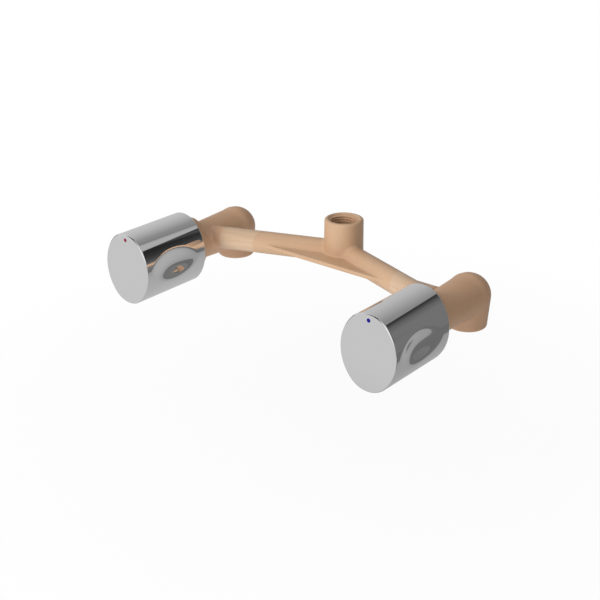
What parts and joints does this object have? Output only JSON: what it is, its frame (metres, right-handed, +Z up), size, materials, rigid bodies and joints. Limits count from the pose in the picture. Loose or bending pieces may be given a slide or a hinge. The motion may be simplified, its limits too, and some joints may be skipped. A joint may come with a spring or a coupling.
{
  "type": "mixing valve",
  "caption": "Twin-handle wall mixing valve: bare cast body with elbow inlets, arms to a central outlet, and oval chromed knobs on quarter-turn ceramic headworks.",
  "frame": {"origin": "on the outlet's axis, where its thread begins below the lead-in chamfer, 0.8 mm inside the mouth", "axes": "+X along the valve from the hot knob to the cold knob, +Y to the wall, away from the knobs, +Z up, out of the outlet"},
  "size_m": [0.2398, 0.123, 0.0537],
  "materials": {
    "cast_bronze": "satin as-cast bronze",
    "chrome_plate": "polished chrome plate",
    "brass": "machined brass",
    "ceramic": "lapped white ceramic",
    "rubber": "black moulded rubber",
    "steel": "stainless steel",
    "nylon": "natural nylon",
    "hot_mark": "red enamel",
    "cold_mark": "blue enamel"
  },
  "bodies": {
    "root": {"mixer_body": "cast_bronze", "hot_headwork": "brass", "hot_head_washer": "nylon", "hot_seat_seal": "rubber", "hot_fixed_disc": "ceramic", "hot_thrust_washer": "nylon", "cold_headwork": "brass", "cold_head_washer": "nylon", "cold_seat_seal": "rubber", "cold_fixed_disc": "ceramic", "cold_thrust_washer": "nylon"},
    "hot_turn": {"hot_moving_disc": "ceramic", "hot_spindle": "brass", "hot_spindle_seals": "rubber", "hot_spindle_clip": "steel", "hot_spline_insert": "nylon", "hot_grub_screw": "steel", "hot_knob": "chrome_plate", "hot_index_dot": "hot_mark"},
    "cold_turn": {"cold_moving_disc": "ceramic", "cold_spindle": "brass", "cold_spindle_seals": "rubber", "cold_spindle_clip": "steel", "cold_spline_insert": "nylon", "cold_grub_screw": "steel", "cold_knob": "chrome_plate", "cold_index_dot": "cold_mark"}
  },
  "joints": [
    {"name": "hot_knob_turn", "type": "hinge", "parent": "root", "child": "hot_turn", "pos_m": [-0.1, -0.08, -0.028], "axis": [0, -1, 0], "range_deg": [0, 90]},
    {"name": "cold_knob_turn", "type": "hinge", "parent": "root", "child": "cold_turn", "pos_m": [0.1, -0.08, -0.028], "axis": [0, 1, 0], "range_deg": [0, 90]}
  ]
}
